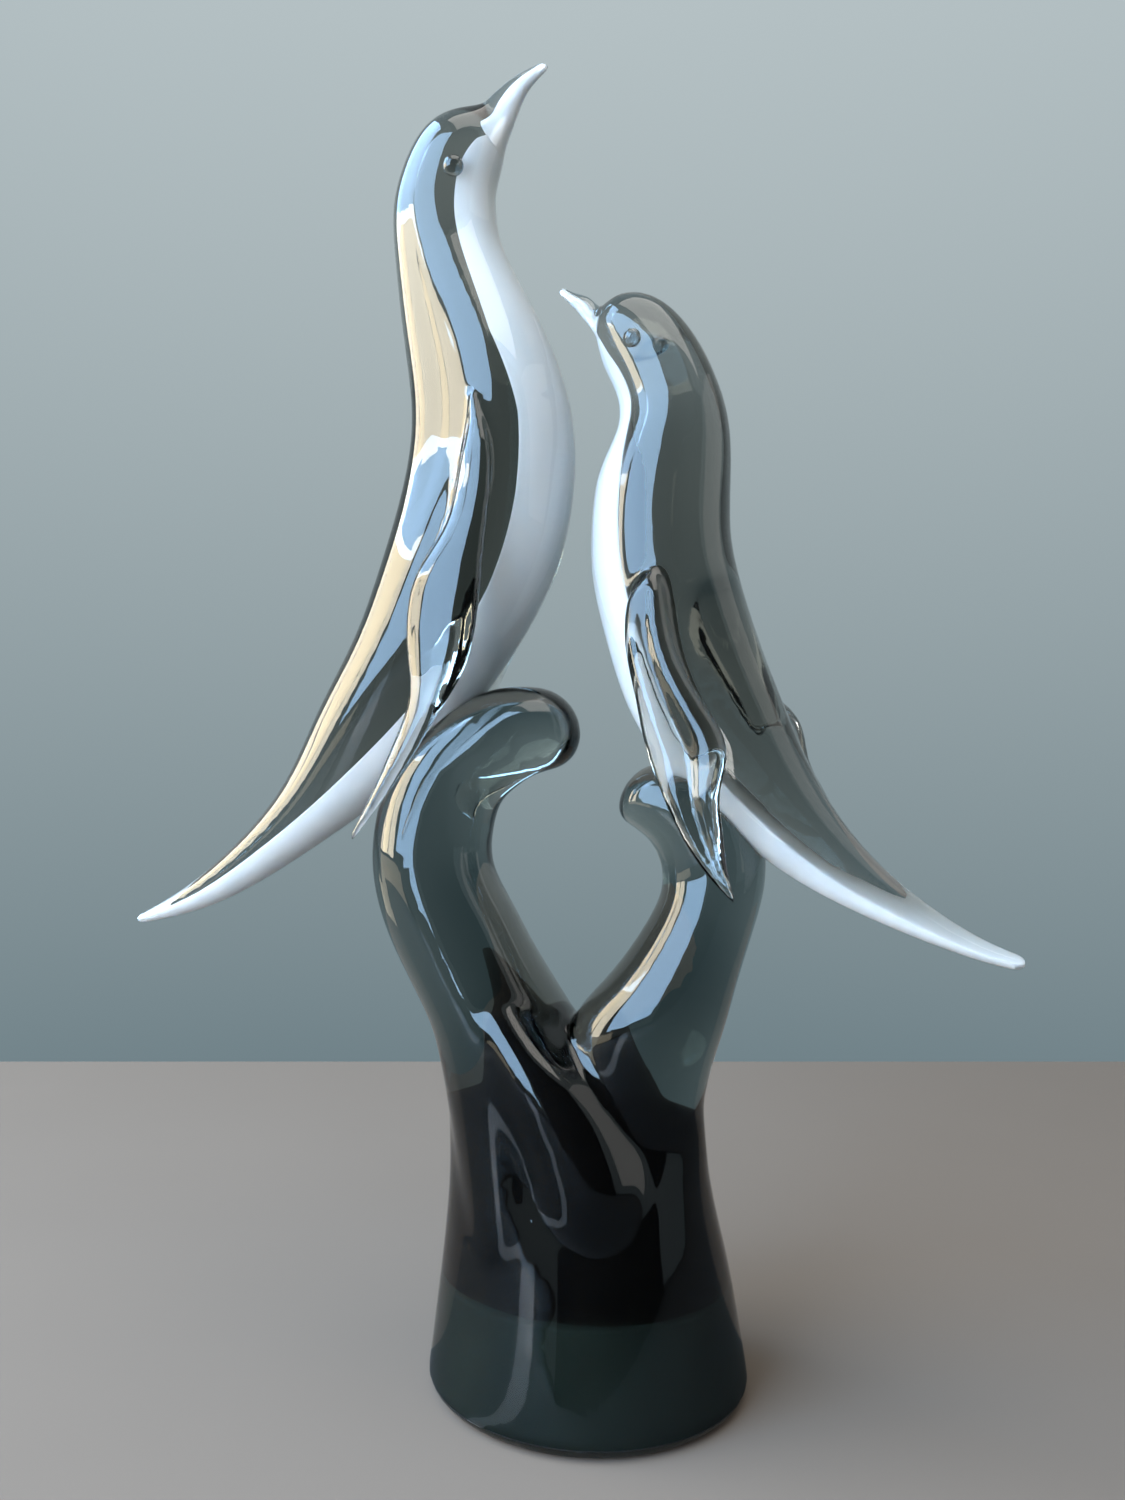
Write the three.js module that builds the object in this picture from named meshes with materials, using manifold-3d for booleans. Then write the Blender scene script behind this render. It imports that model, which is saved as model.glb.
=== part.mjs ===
// Two hot-worked glass birds on a forked glass base.
// Millimetres, +Z up. The origin is the middle of the foot's underside, -Y faces the viewer.

import * as THREE from 'three';
import { mergeVertices } from 'three/addons/utils/BufferGeometryUtils.js';
import Module from 'manifold-3d';

const wasm = await Module();
wasm.setup();

// Fit and facets
const clearance = 0.3;
const bodyFacets = 22;
const baseFacets = 32;
const wingFacets = 14;
const eyeFacets = 16;
const eyeRings = 12;
const casingSkinFacets = 14;
const coreSkinFacets = 10;
const seamFacets = 6;
const stepsPerRow = 2;
const stepsPerBaseRow = 5;
const stepsPerBeakRow = 3;
const endAngles = [30, 58, 80];
const edgeAngles = [90, 60, 30];
const domeAngles = [25, 50, 72, 85];
const flankShares = [0, 0.25, 0.5, 0.75, 1];
const weldReach = 1e-4;

// Base: half widths along X and half depths along Y at four heights, and how far it leans to -X
const footHalfWidth = 61;
const footHalfDepth = 55.5;
const footEdge = 4;
const seamHeight = 40;
const seamHalfWidth = 55.5;
const seamHalfDepth = 45;
const seamLean = 1;
const waistHeight = 84;
const waistHalfWidth = 49.5;
const waistHalfDepth = 41;
const waistLean = 4;
const forkHeight = 118;
const forkHalfWidth = 52;
const forkHalfDepth = 34;
const forkLean = 5;
const forkOverlap = 11;
const lobeHalfDepth = 32;
const creaseDepth = 3;
const creaseHalfWidth = 12;

// Dark core inside the trunk
const casingWall = 12;
const coreTop = 108;
const coreDome = 14;

// Where each bird sits above the knob that carries it, and how its plane turns toward the viewer
const leftSeat = { x: -40, z: 250, turn: 0 };
const rightSeat = { x: 45, z: 225, turn: 10 };

// Back of a bird's white core: its bulge, as a share of the half chord
const coreBulge = -0.06;

// Eyes are beads of this radius, set out from the head's skin by a share of it
const leftEyeRadius = 3.4;
const rightEyeRadius = 3.2;
const eyeRise = 0.25;

// A form is a list of sections across it, in a plane of X and Z, that its skin runs through.
// Columns: back x, back z, front x, front z, half width across the plane, offset across the plane.
// A body has one more: how many degrees from the belly the white core reaches round the section

const leftSide = -forkLean - forkHalfWidth;
const leftBranchRows = [
  [leftSide, forkHeight, -forkLean + forkOverlap, forkHeight, lobeHalfDepth, 0],
  [leftSide - 5, 134, -6, 137, 29, 0],
  [leftSide - 15, 152, -21, 160, 26.5, 0],
  [leftSide - 24, 170, -30, 176, 25, 0],
  [leftSide - 29, 190, -38, 191, 23.5, 0],
  [leftSide - 28, 210, -39, 203, 22.5, 0],
  [-79, 229, -37, 212, 21.5, 0],
  [-66, 246, -34, 218, 20.5, 0],
  [-48, 257, -28, 223, 20, 0],
  [-33, 262, -22, 227, 18.5, 0],
  [-21, 262, -16, 229, 17, 0],
];
const leftKnobReach = 16;

const rightSide = -forkLean + forkHalfWidth;
const rightBranchRows = [
  [rightSide, forkHeight, -forkLean - forkOverlap, forkHeight, lobeHalfDepth, 0],
  [rightSide + 5, 134, -4, 137, 28, 0],
  [rightSide + 10, 152, 9, 153, 26, 0],
  [rightSide + 16, 172, 22, 171, 22, 0],
  [rightSide + 20, 190, 29, 186, 20, 0],
  [65, 208, 28, 197, 19, 0],
  [55, 223, 24, 204, 18.5, 0],
  [40, 232, 20, 207, 17.5, 0],
  [29, 233, 18, 209, 15, 0],
];
const rightKnobReach = 10;

// Bird forms have their origin at the seat. Rows run from the beak's root to the tail tip.
const leftBodyRows = [
  [-3, 238, 7, 221, 8, 0, 80],
  [-15, 236, 5, 214, 13.5, 0, 85],
  [-28, 227, 3, 206, 16, 0, 68],
  [-37, 207, 3, 197, 17, 0, 64],
  [-38, 184, 7, 180, 18.5, 0, 64],
  [-34, 146, 22, 150, 23.5, 0, 64],
  [-31, 118, 33, 118, 27, 0, 55],
  [-34, 92, 34, 88, 28, 0, 53],
  [-42, 62, 27, 57, 28, 0, 54],
  [-54, 31, 7, 21, 26.5, 0, 58],
  [-71, 1, -26, -17, 21, 0, 70],
  [-90, -32, -68, -48, 14, 0, 80],
  [-124, -64, -113, -74, 9, 0, 85],
  [-152, -81, -149, -85, 5, 0, 88],
];
const leftTailReach = 6;

const rightBodyRows = [
  [-41, 183, -44, 172, 5, 0, 60],
  [-32, 186, -42, 166, 9.5, 0, 48],
  [-18, 182, -39, 157, 12.5, 0, 48],
  [-5, 168, -34, 146, 14, 0, 52],
  [4, 150, -34, 133, 15.5, 0, 60],
  [9, 128, -41, 117, 20, 0, 68],
  [9, 98, -44, 97, 22.5, 0, 70],
  [13, 75, -43, 75, 23, 0, 70],
  [21, 50, -36, 48, 22.5, 0, 70],
  [30, 27, -23, 18, 21, 0, 74],
  [44, -3, 4, -11, 17, 0, 80],
  [66, -30, 38, -36, 11, 0, 85],
  [91, -48, 82, -54, 7, 0, 86],
  [107, -55, 105, -60, 4, 0, 88],
];
const rightTailReach = 4;

const leftBeakRows = [
  [-3, 238, 7, 221, 8, 0],
  [1, 240, 10, 228, 6, 0],
  [6, 244, 14, 237, 4.2, 0],
  [13, 248, 18, 243, 3, 0],
  [21, 251, 24, 248, 1.8, 0],
];
const leftBeakReach = 2;

const rightBeakRows = [
  [-41, 183, -44, 172, 5, 0],
  [-46, 187, -49, 179, 3.8, 0],
  [-52, 190, -54, 185, 2.6, 0],
  [-57, 193, -59, 190, 1.6, 0],
];
const rightBeakReach = 1.5;

// Wing rows run from the shoulder to the free tip. Back is the trailing edge.
const leftWingRows = [
  [2, 114, 4, 118, 2, -26.5],
  [1, 104, 9, 106, 3, -28],
  [-1, 93, 12, 95, 4, -29.5],
  [-4, 76, 12, 78, 5, -30.7],
  [-10, 62, 10, 58, 6.5, -32],
  [-19, 46, 8, 38, 7, -32.5],
  [-20, 24, 4, 18, 7, -33.5],
  [-18, 8, -5, 2, 6, -35],
  [-23, -8, -15, -14, 5, -36],
  [-31, -26, -27, -31, 3.5, -37],
  [-39, -42, -38, -45, 1.5, -38],
];
const leftFarWingRows = [
  [6, 116, 10, 118, 1.5, 26],
  [4, 106, 16, 105, 2.5, 27],
  [4, 95, 21.5, 95, 3.5, 27],
  [3, 82, 24.5, 79, 4.5, 27],
  [-2, 66, 22.5, 65, 6, 28],
  [-10, 50, 16, 52, 7, 29],
  [-15, 32, 7, 38, 7, 30.5],
  [-18, 14, -2, 22, 6, 32],
  [-24, -4, -11, 4, 5, 33.5],
  [-32, -22, -21, -14, 3.5, 35],
  [-39, -38, -36, -36, 1.5, 36],
];

const rightWingRows = [
  [-10, 75, -15, 74, 3, -24.5],
  [-7, 70, -20, 67, 5.5, -26],
  [-5, 60, -21, 55, 7, -27],
  [-2, 48, -19, 42, 7.5, -27.5],
  [4, 36, -16, 30, 7.5, -28],
  [12, 24, -13, 16, 7.5, -28],
  [17, 12, -9, 4, 7, -28.5],
  [15, -2, -4, -7, 6, -30],
  [16, -14, 3, -20, 5, -31],
  [18, -26, 12, -31, 3.5, -33],
  [21, -36, 20, -38, 1.5, -35],
];
const rightFarWingRows = [
  [-11, 73.5, -13.5, 72, 2.5, 23.5],
  [-8, 70, -15.5, 66, 4.5, 25],
  [-4, 61, -13, 55, 6, 26],
  [2, 50.5, -8, 43.5, 7, 27],
  [10.5, 41, -2, 33, 7.5, 27.5],
  [21, 32, 4, 21, 7.5, 28],
  [29, 22.5, 10.5, 10.5, 7, 28.5],
  [31.5, 9.5, 17.5, 1, 6, 30],
  [36, -1, 26.5, -9.5, 5, 31],
  [41.5, -11.5, 37.5, -17.5, 3.5, 33],
  [47, -20, 46.5, -22, 1.5, 35],
];

// Eye places: row number along the body, counted from the beak's root, and angle from the front
const leftEyePlace = { row: 2.38, angle: 68 };
const rightEyePlace = { row: 2.5, angle: 90 };

const paleSmoke = new THREE.MeshStandardMaterial({ color: 0x8d9a98, roughness: 0.05 });
const smoke = new THREE.MeshStandardMaterial({ color: 0x55625f, roughness: 0.05 });
const darkGlass = new THREE.MeshStandardMaterial({ color: 0x141112, roughness: 0.08 });
const footGlass = new THREE.MeshStandardMaterial({ color: 0x56625e, roughness: 0.05 });
const opaline = new THREE.MeshStandardMaterial({ color: 0xe9f1f5, roughness: 0.12 });
const clearGlass = new THREE.MeshStandardMaterial({ color: 0xb9c6c8, roughness: 0.03 });

// Values at even steps through every column of a table, along a smooth curve through its rows
function smoothRows(rows, steps = stepsPerRow) {
  const tracks = rows[0].map((value, column) => new THREE.SplineCurve(
    rows.map((row, index) => new THREE.Vector2(index, row[column])),
  ));
  const count = (rows.length - 1) * steps;
  return Array.from({ length: count + 1 }, (none, i) => tracks.map((track) => track.getPoint(i / count).y));
}

// Rows that close a form's end with a quarter ellipse of the given reach
function roundedEnd(rows, reach) {
  const [last, before] = [rows.at(-1), rows.at(-2)];
  const middle = ([ax, az, bx, bz]) => new THREE.Vector2((ax + bx) / 2, (az + bz) / 2);
  const ahead = middle(last).sub(middle(before)).normalize();
  return endAngles.map((degrees) => {
    const angle = THREE.MathUtils.degToRad(degrees);
    const shrink = Math.cos(angle);
    const center = middle(last).addScaledVector(ahead, reach * Math.sin(angle));
    const chord = new THREE.Vector2(last[0] - last[2], last[1] - last[3]).multiplyScalar(shrink / 2);
    return [center.x + chord.x, center.y + chord.y, center.x - chord.x, center.y - chord.y,
      last[4] * shrink, ...last.slice(5)];
  });
}

// A row's middle, the way from its middle to its front, its half chord and half width
function sectionOf([backX, backZ, frontX, frontZ, halfWidth, offset, coreAngle], grow = 0) {
  const back = new THREE.Vector3(backX, offset, backZ);
  const front = new THREE.Vector3(frontX, offset, frontZ);
  const chord = front.clone().sub(back);
  return {
    center: back.add(front).multiplyScalar(0.5),
    halfChord: chord.length() / 2 + grow,
    toFront: chord.normalize(),
    halfWidth: halfWidth + grow,
    coreAngle,
  };
}

function placeOn(section, along, across) {
  const point = section.center.clone().addScaledVector(section.toFront, along);
  point.y += across;
  return point;
}

// Full oval ring round a section
function ovalRing(row, facets, grow = 0) {
  const section = sectionOf(row, grow);
  return Array.from({ length: facets }, (none, i) => {
    const angle = (2 * Math.PI * i) / facets;
    return placeOn(section, section.halfChord * Math.cos(angle), section.halfWidth * Math.sin(angle));
  });
}

// Seam between core and casing: its angle from the front, kept off the widest place of a thin tail
function seamAngle(section, gap) {
  const most = 1 - (2 * clearance) / section.halfWidth;
  const edge = Math.min(Math.sin(THREE.MathUtils.degToRad(section.coreAngle)), most);
  return Math.asin(edge + gap / section.halfWidth);
}

// Ring of half an oval: the skin from seam to seam, then back along the seam's arc.
// side is 1 for the core in front of the seam and -1 for the casing behind it
function seamedRing(row, side, skinFacets) {
  const section = sectionOf(row);
  const gap = side > 0 ? 0 : clearance;
  const seam = seamAngle(section, gap);
  const from = side > 0 ? -seam : seam;
  const sweep = side > 0 ? 2 * seam : 2 * Math.PI - 2 * seam;
  const skin = Array.from({ length: skinFacets + 1 }, (none, i) => {
    const angle = from + (sweep * i) / skinFacets;
    return placeOn(section, section.halfChord * Math.cos(angle), section.halfWidth * Math.sin(angle));
  });
  const arc = Array.from({ length: seamFacets - 1 }, (none, i) => {
    const turn = (Math.PI * (i + 1)) / seamFacets;
    const along = section.halfChord * (Math.cos(seam) - coreBulge * Math.sin(turn)) - gap * Math.sin(turn);
    return placeOn(section, along, side * section.halfWidth * Math.sin(seam) * Math.cos(turn));
  });
  return [...skin, ...arc];
}

// Closed skin over rings of equal counts, with a fan over each end
function loft(rings) {
  const size = rings[0].length;
  const middleOf = (ring) => ring.reduce((sum, p) => sum.add(p), new THREE.Vector3()).divideScalar(size);
  const points = [...rings.flat(), middleOf(rings[0]), middleOf(rings.at(-1))];
  const [startMiddle, endMiddle] = [points.length - 2, points.length - 1];
  const endRing = (rings.length - 1) * size;
  const faces = [];
  for (let i = 0; i < size; i += 1) {
    const next = (i + 1) % size;
    faces.push(startMiddle, next, i, endMiddle, endRing + i, endRing + next);
    for (let ring = 0; ring < endRing; ring += size) {
      faces.push(ring + i, ring + next, ring + size + i, ring + next, ring + size + next, ring + size + i);
    }
  }
  return faceOut(new THREE.BufferGeometry().setFromPoints(points).setIndex(faces));
}

// Turns every face over where a closed skin's signed volume is negative
function faceOut(geometry) {
  const [place, index] = [geometry.getAttribute('position'), geometry.getIndex()];
  const corner = (i) => new THREE.Vector3().fromBufferAttribute(place, index.getX(i));
  let volume = 0;
  for (let i = 0; i < index.count; i += 3) volume += corner(i).dot(corner(i + 1).cross(corner(i + 2)));
  if (volume < 0) geometry.setIndex(Array.from(index.array).reverse());
  return geometry;
}

function toSolid(geometry) {
  const bare = geometry.clone().deleteAttribute('normal').deleteAttribute('uv');
  const merged = mergeVertices(bare, weldReach);
  return new wasm.Manifold(new wasm.Mesh({
    numProp: 3,
    vertProperties: new Float32Array(merged.getAttribute('position').array),
    triVerts: new Uint32Array(merged.getIndex().array),
  }));
}

function toGeometry(solid) {
  const { vertProperties, triVerts } = solid.getMesh();
  const geometry = new THREE.BufferGeometry();
  geometry.setAttribute('position', new THREE.BufferAttribute(new Float32Array(vertProperties), 3));
  return geometry.setIndex(new THREE.BufferAttribute(new Uint32Array(triVerts), 1));
}

function cut(geometry, ...tools) {
  return toGeometry(tools.reduce((solid, tool) => solid.subtract(toSolid(tool)), toSolid(geometry)));
}

function addPiece(parent, name, geometry, material) {
  const mesh = new THREE.Mesh(geometry, material);
  mesh.name = name;
  parent.add(mesh);
  return mesh;
}

// Base rows are height, half width, half depth, lean toward -X and crease depth
const baseRows = smoothRows([
  [0, footHalfWidth, footHalfDepth, 0, 0],
  [seamHeight, seamHalfWidth, seamHalfDepth, seamLean, 0],
  [waistHeight, waistHalfWidth, waistHalfDepth, waistLean, creaseDepth / 2],
  [forkHeight, forkHalfWidth, forkHalfDepth, forkLean, creaseDepth],
], stepsPerBaseRow);

// The base's row at any height, by straight steps between the smooth rows
function baseRowAt(height) {
  const above = Math.max(baseRows.findIndex((row) => row[0] >= height), 1);
  const [low, high] = [baseRows[above - 1], baseRows[above]];
  const share = (height - low[0]) / (high[0] - low[0]);
  return low.map((value, column) => value + (high[column] - value) * share);
}

// Oval ring of the base, drawn in all round and creased at the front and the back
function baseRing([height, halfWidth, halfDepth, lean, crease], inset = 0) {
  return Array.from({ length: baseFacets }, (none, i) => {
    const angle = (2 * Math.PI * i) / baseFacets;
    const x = (halfWidth - inset) * Math.cos(angle);
    const dip = crease * Math.exp(-((x / creaseHalfWidth) ** 2));
    return new THREE.Vector3(x - lean, (halfDepth - inset - dip) * Math.sin(angle), height);
  });
}

// Foot from the rounded lower edge up to the seam
function footForm() {
  const edge = edgeAngles.map((degrees) => {
    const angle = THREE.MathUtils.degToRad(degrees);
    const height = footEdge * (1 - Math.cos(THREE.MathUtils.degToRad(90 - degrees)));
    return baseRing([height, ...baseRowAt(footEdge).slice(1)], footEdge * (1 - Math.cos(angle)));
  });
  const flanks = baseRows.filter(([height]) => height >= footEdge && height <= seamHeight + weldReach);
  return loft([...edge, baseRing(baseRowAt(footEdge)), ...flanks.map((row) => baseRing(row))]);
}

// Domed plug inside the trunk, grown all round by a gap when it cuts the casing
function coreForm(grow = 0) {
  const foot = grow > 0 ? seamHeight - grow : seamHeight + clearance;
  const shoulder = coreTop - coreDome;
  const flanks = flankShares.map((share) => {
    const row = baseRowAt(foot + (shoulder - foot) * share);
    return baseRing(row, casingWall - grow);
  });
  const dome = domeAngles.map((degrees) => {
    const angle = THREE.MathUtils.degToRad(degrees);
    const height = shoulder + (coreDome + grow) * Math.sin(angle);
    const row = baseRowAt(shoulder);
    const inset = (half) => half - (half - casingWall + grow) * Math.cos(angle);
    return baseRing([height, row[1] - inset(row[1]), row[2] - inset(row[2]), row[3], 0]);
  });
  return loft([...flanks, ...dome]);
}

function trunkForm() {
  const bottom = baseRing([seamHeight + clearance, ...baseRowAt(seamHeight).slice(1)]);
  const flanks = baseRows.filter(([height]) => height > seamHeight + clearance);
  return loft([bottom, ...flanks.map((row) => baseRing(row))]);
}

// Half space beyond the fork's middle plane, on the side that a branch must not enter
function beyondMiddle(side) {
  const size = 2 * (forkHeight + forkHalfWidth);
  const wall = new THREE.BoxGeometry(size, size, size);
  return wall.translate(-forkLean + side * (size / 2 - clearance / 2), 0, forkHeight);
}

function branchForm(rows, knobReach) {
  const [[backX, backZ, frontX, frontZ, ...rest], ...others] = rows;
  const raised = [backX, backZ + clearance, frontX, frontZ + clearance, ...rest];
  const smooth = smoothRows([raised, ...others]);
  const sections = [...smooth, ...roundedEnd(smooth, knobReach)];
  return loft(sections.map((row) => ovalRing(row, bodyFacets)));
}

function wingForm(rows) {
  return loft(smoothRows(rows).map((row) => ovalRing(row, wingFacets)));
}

// Bead that sits on the skin of the head
function eyeForm(bodyRows, place, radius, side) {
  const before = Math.floor(place.row);
  const [low, high] = [bodyRows[before], bodyRows[before + 1]];
  const section = sectionOf(low.map((value, i) => value + (high[i] - value) * (place.row - before)));
  const angle = THREE.MathUtils.degToRad(place.angle);
  const reach = section.halfWidth * Math.sin(angle) + radius * eyeRise;
  const center = placeOn(section, section.halfChord * Math.cos(angle), side * reach);
  const ball = new THREE.SphereGeometry(radius, eyeFacets, eyeRings);
  const bead = mergeVertices(ball.deleteAttribute('normal').deleteAttribute('uv'), weldReach);
  return faceOut(bead).translate(...center);
}

// Beak, moved out along its own line so that a gap stays at its root
function beakForm(rows, reach) {
  const smooth = smoothRows(rows, stepsPerBeakRow);
  const [root, next] = [sectionOf(smooth[0]).center, sectionOf(smooth[1]).center];
  const away = next.clone().sub(root).normalize().multiplyScalar(clearance);
  const sections = [...smooth, ...roundedEnd(smooth, reach)];
  return loft(sections.map((row) => ovalRing(row, wingFacets))).translate(...away);
}

// One bird, in its own group at its seat, and the grown body that cuts a seat into what carries it
function makeBird(name, seat, shape) {
  const bird = new THREE.Group();
  bird.position.set(seat.x, 0, seat.z);
  bird.rotation.z = THREE.MathUtils.degToRad(-seat.turn);
  const smooth = smoothRows(shape.body);
  const sections = [...smooth, ...roundedEnd(smooth, shape.tailReach)];
  const grown = loft(sections.map((row) => ovalRing(row, bodyFacets, clearance)));
  const casing = loft(sections.map((row) => seamedRing(row, -1, casingSkinFacets)));
  const core = loft(sections.map((row) => seamedRing(row, 1, coreSkinFacets)));
  addPiece(bird, `${name}_back`, casing, smoke);
  addPiece(bird, `${name}_breast`, core, opaline);
  addPiece(bird, `${name}_beak`, beakForm(shape.beak, shape.beakReach), opaline);
  addPiece(bird, `${name}_near_wing`, cut(wingForm(shape.wing), grown), clearGlass);
  addPiece(bird, `${name}_far_wing`, cut(wingForm(shape.farWing), grown), clearGlass);
  const nearEye = eyeForm(shape.body, shape.eye, shape.eyeRadius, -1);
  const farEye = eyeForm(shape.body, shape.eye, shape.eyeRadius, 1);
  addPiece(bird, `${name}_near_eye`, cut(nearEye, grown), clearGlass);
  addPiece(bird, `${name}_far_eye`, cut(farEye, grown), clearGlass);
  bird.updateMatrixWorld(true);
  return { bird, seatTool: grown.clone().applyMatrix4(bird.matrixWorld) };
}

const left = makeBird('left_bird', leftSeat, {
  body: leftBodyRows,
  tailReach: leftTailReach,
  beak: leftBeakRows,
  beakReach: leftBeakReach,
  wing: leftWingRows,
  farWing: leftFarWingRows,
  eye: leftEyePlace,
  eyeRadius: leftEyeRadius,
});
const right = makeBird('right_bird', rightSeat, {
  body: rightBodyRows,
  tailReach: rightTailReach,
  beak: rightBeakRows,
  beakReach: rightBeakReach,
  wing: rightWingRows,
  farWing: rightFarWingRows,
  eye: rightEyePlace,
  eyeRadius: rightEyeRadius,
});

const sculpture = new THREE.Group();
addPiece(sculpture, 'foot', footForm(), footGlass);
addPiece(sculpture, 'dark_core', coreForm(), darkGlass);
addPiece(sculpture, 'trunk_casing', cut(trunkForm(), coreForm(clearance)), paleSmoke);
const leftBranch = cut(branchForm(leftBranchRows, leftKnobReach), beyondMiddle(1), left.seatTool);
const rightBranch = cut(branchForm(rightBranchRows, rightKnobReach), beyondMiddle(-1), right.seatTool);
addPiece(sculpture, 'left_branch', leftBranch, smoke);
addPiece(sculpture, 'right_branch', rightBranch, smoke);
sculpture.add(left.bird, right.bird);

export default sculpture;
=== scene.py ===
import math

import bpy
import numpy as np
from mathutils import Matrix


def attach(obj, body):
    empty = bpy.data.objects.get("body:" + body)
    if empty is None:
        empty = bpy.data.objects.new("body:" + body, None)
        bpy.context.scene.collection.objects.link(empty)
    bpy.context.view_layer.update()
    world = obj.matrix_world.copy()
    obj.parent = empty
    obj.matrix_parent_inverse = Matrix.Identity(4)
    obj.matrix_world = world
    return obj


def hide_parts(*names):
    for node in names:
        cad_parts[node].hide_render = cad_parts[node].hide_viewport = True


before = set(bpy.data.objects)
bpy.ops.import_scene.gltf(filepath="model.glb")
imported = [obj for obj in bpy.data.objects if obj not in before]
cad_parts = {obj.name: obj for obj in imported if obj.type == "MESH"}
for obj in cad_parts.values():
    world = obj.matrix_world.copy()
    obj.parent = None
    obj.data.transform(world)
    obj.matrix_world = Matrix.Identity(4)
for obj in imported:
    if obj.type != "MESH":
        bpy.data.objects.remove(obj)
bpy.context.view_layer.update()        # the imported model, as a fixed frame
print("frame loaded:", len(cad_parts), "nodes")

mm = 0.001               # every table below is in millimetres


# Smooth step from 0 at low to 1 at high: 3t^2 - 2t^3
def ramp(value, low, high):
    t = np.clip((value - low) / (high - low), 0, 1)
    return t * t * (3 - 2 * t)


# Natural cubic spline: S = (1-f) a + f b + ((1-f)^3-(1-f)) A/6 + (f^3-f) B/6, A and B second derivatives
def splineRows(rows, samples):
    y = np.array(rows, float)
    n = len(y)
    bend = np.eye(n)
    inner = np.arange(1, n - 1)
    bend[inner, inner - 1], bend[inner, inner], bend[inner, inner + 1] = 1, 4, 1
    right = np.zeros_like(y)
    right[1:-1] = 6 * (y[2:] - 2 * y[1:-1] + y[:-2])
    second = np.linalg.solve(bend, right)
    u = np.linspace(0, n - 1, samples)
    i = np.minimum(u.astype(int), n - 2)
    f = (u - i)[:, None]
    g = 1 - f
    return g * y[i] + f * y[i + 1] + (g ** 3 - g) * second[i] / 6 + (f ** 3 - f) * second[i + 1] / 6


# Quarter ellipse past the last row: middle + reach sin(a) ahead, chord and width times cos(a), a from 0 to 90
def roundEnd(rows, reach, count=9):
    last, before = rows[-1], rows[-2]
    middle = np.array([(last[0] + last[2]) / 2, (last[1] + last[3]) / 2])
    earlier = np.array([(before[0] + before[2]) / 2, (before[1] + before[3]) / 2])
    ahead = (middle - earlier) / np.linalg.norm(middle - earlier)
    a = np.linspace(0, np.pi / 2, count + 1)[1:-1, None]
    center = middle + reach * np.sin(a) * ahead
    chord = np.array([last[0] - last[2], last[1] - last[3]]) / 2 * np.cos(a)
    return np.hstack([center + chord, center - chord, last[4] * np.cos(a), np.full_like(a, last[5])])


# The rows with a round end before the first and after the last
def withEnds(rows, startReach, endReach):
    return np.vstack([roundEnd(rows[::-1], startReach)[::-1], rows, roundEnd(rows, endReach)])


# Each row's middle, unit way to its front, half chord and half width
def sectionsOf(rows):
    back = np.stack([rows[:, 0], rows[:, 5], rows[:, 1]], 1)
    front = np.stack([rows[:, 2], rows[:, 5], rows[:, 3]], 1)
    half = np.linalg.norm(front - back, axis=1) / 2
    return (back + front) / 2, (front - back) / (2 * half[:, None]), half, rows[:, 4]


# Flutes round a piece: how many of each wave, how far each drifts, and how softly a pressed flat begins and ends
fluteShape = {"waves": (3, 5, 8, 12, 17), "wholeTurn": 6.28, "drift": (1, 3), "pressFade": 0.12}


# Skin P = middle + r ((h + grow) cos v * toFront + (w + grow) sin v * across), fluted along its length:
# r = 1 + flute * sum of sin(n v + phase(u)) / n, each phase drifting slowly with u,
# less depth * exp(-((v - at) / wide)^2) where a paddle pressed it flat. Lean shifts it across by lean * cos v
def ovalGrid(rows, around=96, grow=0.0, flute=0.0, seed=1, press=(), lean=0.0):
    middle, toFront, half, width = sectionsOf(rows)
    v = np.linspace(0, 2 * np.pi, around, endpoint=False)[None]
    u = np.linspace(0, 1, len(rows))[:, None]
    draw = np.random.default_rng(seed).uniform
    whole, drift, fade = fluteShape["wholeTurn"], fluteShape["drift"], fluteShape["pressFade"]
    wave = sum(np.sin(n * v + draw(0, whole) + draw(*drift) * np.sin(3 * u + draw(0, whole))) / n
               for n in fluteShape["waves"])
    r = 1 + flute * wave * np.sin(np.pi * u) ** 0.5
    for flat in press:
        apart = np.angle(np.exp(1j * (v - math.radians(flat["at"]))))
        along = ramp(u, flat["from"], flat["from"] + fade) * (1 - ramp(u, flat["to"] - fade, flat["to"]))
        r = r - flat["depth"] * along * np.exp(-(apart / flat["wide"]) ** 2)
    along = r * (half[:, None] + grow) * np.cos(v)
    points = middle[:, None] + along[..., None] * toFront[:, None]
    points[..., 1] += r * (width[:, None] + grow) * np.sin(v) + lean * np.cos(v) * np.sin(np.pi * u) ** 0.5
    return points


# Closed skin over a grid of rings, with each end closed at one pole: points, then four- and three-sided faces
def shellOf(grid):
    rings, around = grid.shape[:2]
    points = np.vstack([grid.reshape(-1, 3), grid[0].mean(0), grid[-1].mean(0)])
    u, v = np.meshgrid(np.arange(rings - 1), np.arange(around), indexing="ij")
    w = (v + 1) % around
    quads = np.stack([u * around + v, u * around + w, (u + 1) * around + w, (u + 1) * around + v], -1).reshape(-1, 4)
    ring = np.arange(around)
    ahead = (ring + 1) % around
    first, last = rings * around, rings * around + 1
    top = (rings - 1) * around
    fans = np.vstack([np.stack([np.full(around, first), ahead, ring], 1),
                      np.stack([np.full(around, last), top + ring, top + ahead], 1)])
    corners = points[np.vstack([quads[:, :3], quads[:, [0, 2, 3]], fans])]
    volume = np.einsum("ij,ij->i", corners[:, 0], np.cross(corners[:, 1], corners[:, 2])).sum()
    return (points, quads[:, ::-1], fans[:, ::-1]) if volume < 0 else (points, quads, fans)


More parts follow.
